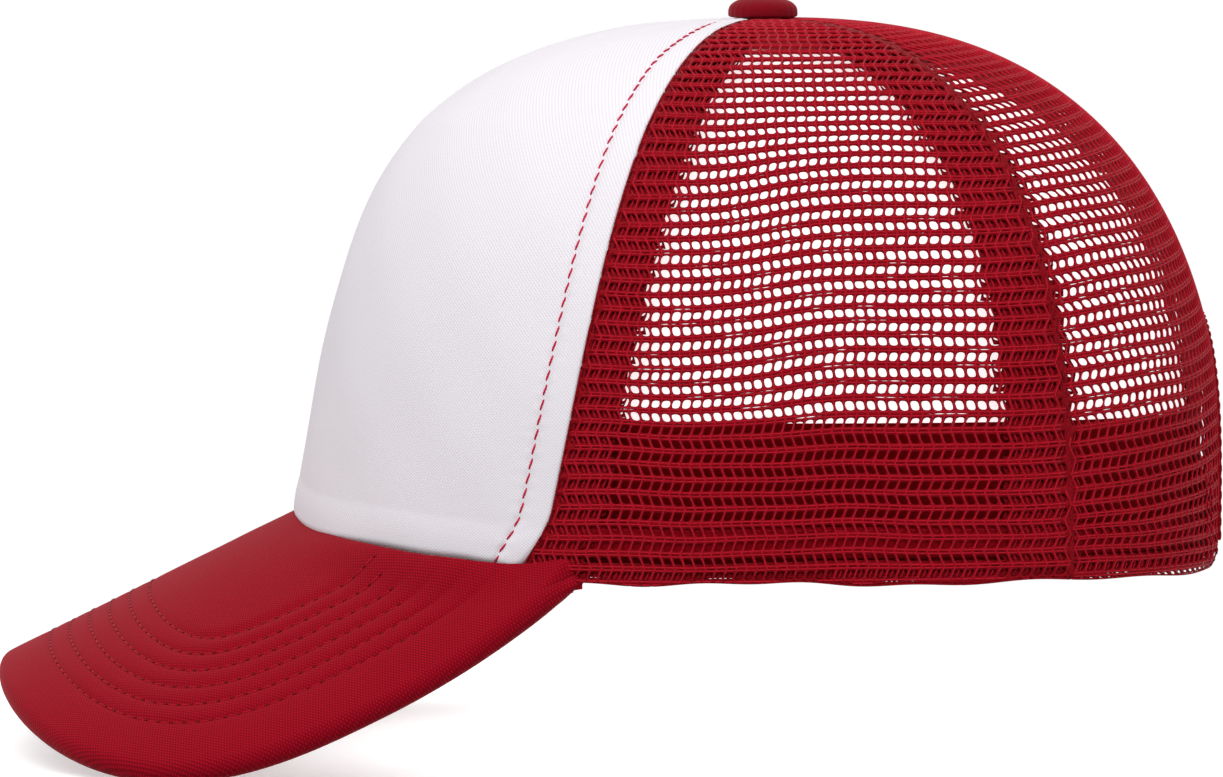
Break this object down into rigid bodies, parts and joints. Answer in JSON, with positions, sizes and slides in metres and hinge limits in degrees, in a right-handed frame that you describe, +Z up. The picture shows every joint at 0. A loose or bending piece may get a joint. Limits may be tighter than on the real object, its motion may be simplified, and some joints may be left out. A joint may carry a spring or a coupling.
{
  "type": "trucker cap",
  "caption": "Five-panel trucker cap: padded front panel, mesh sides and back, curved stitched bill, top button and snap strap across a half-moon opening.",
  "frame": {"origin": "centre of the head opening, on the plane of the crown's lower edge, straight below the button", "axes": "+Z up through the button; the bill points along -Y and the snap strap is at +Y; the wearer's left is +X, so the cap is mirrored in the plane x = 0"},
  "size_m": [0.1674, 0.2679, 0.1653],
  "materials": {
    "white_cloth": "fine white polyester knit, matte",
    "foam": "soft open foam, matte",
    "red_net": "red polyester net, slight sheen",
    "red_tape": "dark red woven tape, matte",
    "sweatband_cloth": "dark red brushed cloth, matte",
    "red_cloth": "red polyester knit, matte",
    "board": "plain polyethylene sheet",
    "button_metal": "plain pressed steel",
    "strap_plastic": "red moulded plastic, satin"
  },
  "bodies": {
    "cap": {"front_panel_face": "white_cloth", "front_panel_foam": "foam", "mesh_side_left": "red_net", "mesh_side_right": "red_net", "mesh_rear_left": "red_net", "mesh_rear_right": "red_net", "front_seam_tape_left": "red_tape", "front_seam_tape_right": "red_tape", "side_seam_tape_left": "red_tape", "side_seam_tape_right": "red_tape", "back_seam_tape": "red_tape", "hem_tape_left": "red_tape", "hem_tape_right": "red_tape", "half_moon_binding": "red_tape", "sweatband": "sweatband_cloth", "bill_top_cover": "red_cloth", "bill_wadding": "foam", "bill_board": "board", "bill_under_cover": "red_cloth", "button_cover": "red_cloth", "button_shell": "button_metal", "button_post": "button_metal", "button_washer": "button_metal", "strap_tab_left": "strap_plastic", "strap_tab_right": "strap_plastic"},
    "holed_strap": {"strap_holes": "strap_plastic"},
    "studded_strap": {"strap_studs": "strap_plastic"}
  },
  "joints": [
    {"name": "holed_strap_flex", "type": "hinge", "parent": "cap", "child": "holed_strap", "pos_m": [0.03086, 0.09733, 0], "axis": [0, 0, -1], "range_deg": [0, 75], "stiffness_Nm_per_rad": 0.02},
    {"name": "studded_strap_flex", "type": "hinge", "parent": "cap", "child": "studded_strap", "pos_m": [-0.0306, 0.09616, 0], "axis": [0, 0, -1], "range_deg": [0, 40], "stiffness_Nm_per_rad": 0.02}
  ]
}
